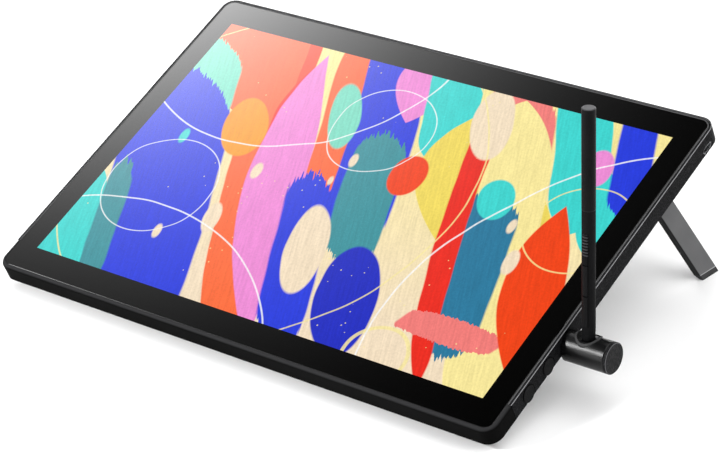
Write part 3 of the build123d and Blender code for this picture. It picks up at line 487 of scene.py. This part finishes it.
FINISHES = {
    "cover_glass": screen_glass("etched_glass"),
    "frame_plastic": moulded("frame_satin", "414142", 0.42, grain=0.1, specular=0.15),
    "trim_plastic": smooth_trim("trim_smooth"),
    "cover_plastic": cover_shell("cover_textured"),
    "panel_glass": moulded("panel_dark", "101114", 0.15, mottle=0.05),
    "clear_plastic": diffuser("light_guide_dots"),
    "sheet_metal": metal("sheet_aluminium", "c2c4c8", 0.35, RIGHT),
    "circuit_board": circuit("solder_mask", "0d5b34"),
    "chip_plastic": moulded("chip_resin", "1b1b1c", 0.6, grain=0.4),
    "screw_steel": metal("black_screw", "3c3c3e", 0.38, UP, stretch=2400.0),
    "ribbon_film": film("ribbon_amber", "c9822a"),
    "port_steel": metal("port_shell", "b9babd", 0.28, RIGHT),
    "insert_brass": metal("turned_brass", "c9a35a", 0.3, UP, stretch=2400.0),
    "foot_rubber": rubber("foot_rubber", "1c1c1d"),
    "leg_metal": leg_paint_and_shade("leg_paint_and_shade"),
    "bracket_steel": moulded("bracket_coat", "1a1a1b", 0.5, grain=0.3, specular=0.2),
    "plug_plastic": moulded("plug_satin", "070708", 0.5, grain=0.5, grain_scale=1500.0, specular=0.05),
    "holder_plastic": brushed_plastic("holder_brushed"),
    "collar_rubber": rubber("collar_rubber", "161617", roughness=0.7),
    "nib_plastic": moulded("nib_plastic", "2a2a2b", 0.4, mottle=0.1),
    "pen_plastic": pen_shell("pen_matt"),
    "pen_grip_plastic": moulded("pen_soft_touch", "101011", 0.5, grain=0.2, specular=0.03),
    "pen_switch_plastic": moulded("pen_switch_satin", "101011", 0.36, grain=0.1, specular=0.045),
    "pen_ring_metal": metal("pen_ring_metal", "262627", 0.4, PEN_UP),
    "coil_copper": metal("coil_copper", "b8733a", 0.35, RIGHT, stretch=2400.0),
}
SPECIAL = {
    "holder_cap": drum_end("drum_end"),
    "pen_switch_upper": ribbed_switch("pen_switch_ribbed"),
}
SLOTS = {entry["node"]: entry["material_slot"] for entry in frame["record"]["subparts"]}
for node, piece in frame["nodes"].items():
    piece.data.materials.clear()
    piece.data.materials.append(SPECIAL.get(node) or FINISHES[SLOTS[node]])

# ------------------------------------------------------------------ floor, camera and lights
FLOOR_HALF = 6.0
floor_mesh = bpy.data.meshes.new("floor")
floor_bm = bmesh.new()
bmesh.ops.create_grid(floor_bm, x_segments=4, y_segments=4, size=FLOOR_HALF)
floor_bm.to_mesh(floor_mesh)
floor_bm.free()
floor = bpy.data.objects.new("floor", floor_mesh)
bpy.context.collection.objects.link(floor)
paper = Material("floor_paper")
paper.finish(
    paper.mix(paper.noise(3.0), shade("f7f7f7"), shade("fafafa")),
    0.8,
    paper.bump(paper.noise(400.0), 0.02, 0.001),
)
floor_mesh.materials.append(paper.material)

CAMERA_PLACE = CENTER + Vector((0.93901, -1.10999, 0.75957))
CAMERA_AZIMUTH, CAMERA_ELEVATION, CAMERA_ROLL = radians(39.957), radians(28.312), radians(-4.801)
CAMERA_SENSOR, CAMERA_LENS = 36.0, 133.71
camera_data = bpy.data.cameras.new("camera")
camera_data.sensor_width = CAMERA_SENSOR
camera_data.lens = CAMERA_LENS
camera = bpy.data.objects.new("camera", camera_data)
camera.location = CAMERA_PLACE
turn = Matrix.Rotation(CAMERA_AZIMUTH, 4, "Z") @ Matrix.Rotation(pi / 2 - CAMERA_ELEVATION, 4, "X")
camera.rotation_euler = (turn @ Matrix.Rotation(CAMERA_ROLL, 4, "Z")).to_euler()
bpy.context.collection.objects.link(camera)
bpy.context.scene.camera = camera


def softbox(name, place, aim, width, height, power):
    """A rectangular area light that faces a point."""
    data = bpy.data.lights.new(name, "AREA")
    data.shape = "RECTANGLE"
    data.size, data.size_y = width, height
    data.energy = power
    light = bpy.data.objects.new(name, data)
    light.location = place
    light.rotation_euler = (Vector(aim) - Vector(place)).to_track_quat("-Z", "Y").to_euler()
    bpy.context.collection.objects.link(light)


softbox("overhead", (0.9, 0.4, 2.4), (0.1, 0, 0), 3.0, 3.0, 68)
softbox("front_left", (-0.95, -1.37, 1.01), (0.19, -0.04, 0.03), 0.45, 0.3, 44)
softbox("left_low", (-1.10, -1.50, 0.14), (0.19, -0.05, 0.12), 0.5, 0.25, 5)
softbox("right_low", (2.2, 0.6, 0.9), (0.1, 0, 0), 1.8, 1.2, 27)
softbox("rear_low", (-0.5, 2.2, 0.55), (0, 0.1, 0.05), 1.6, 0.7, 32)

# The studio is pale along the horizon and dim above it, but for one soft glow high at the back left.
world = bpy.data.worlds.new("studio")
world.use_nodes = True
sky = Tree(world.node_tree)
backdrop = sky.nodes["Background"]
GLOW_AZIMUTH, GLOW_ELEVATION = radians(154), radians(42)
# The glow's strength is e to the power of peak + fall * angle + curve * angle squared, in degrees.
GLOW_PEAK, GLOW_FALL, GLOW_CURVE = 3.23, -0.0417, -0.0268
# The sky is pale up to one height of the view direction, and fades to its dim strength at another.
PALE_BELOW, DIM_ABOVE, DIM_SKY = 0.16, 0.46, 0.006
glow_from = Vector(
    (cos(GLOW_ELEVATION) * cos(GLOW_AZIMUTH), cos(GLOW_ELEVATION) * sin(GLOW_AZIMUTH), sin(GLOW_ELEVATION))
)
direction = sky.node("ShaderNodeTexCoord").outputs["Generated"]
toward = sky.math("MINIMUM", sky.dot(direction, glow_from), 1.0)
apart = sky.math("DEGREES", sky.math("ARCCOSINE", toward))
falling = sky.math("MULTIPLY_ADD", sky.math("MULTIPLY", apart, apart), GLOW_CURVE, GLOW_PEAK)
falling = sky.math("MULTIPLY_ADD", apart, GLOW_FALL, falling)
horizon = sky.spread(sky.dot(direction, (0, 0, 1)), PALE_BELOW, DIM_ABOVE, 1.0, DIM_SKY, smooth=True)
sky.plug(backdrop.inputs["Strength"], sky.math("ADD", sky.math("EXPONENT", falling), horizon))
backdrop.inputs["Color"].default_value = (1, 1, 1, 1)
bpy.context.scene.world = world
bpy.context.scene.view_settings.view_transform = "Standard"
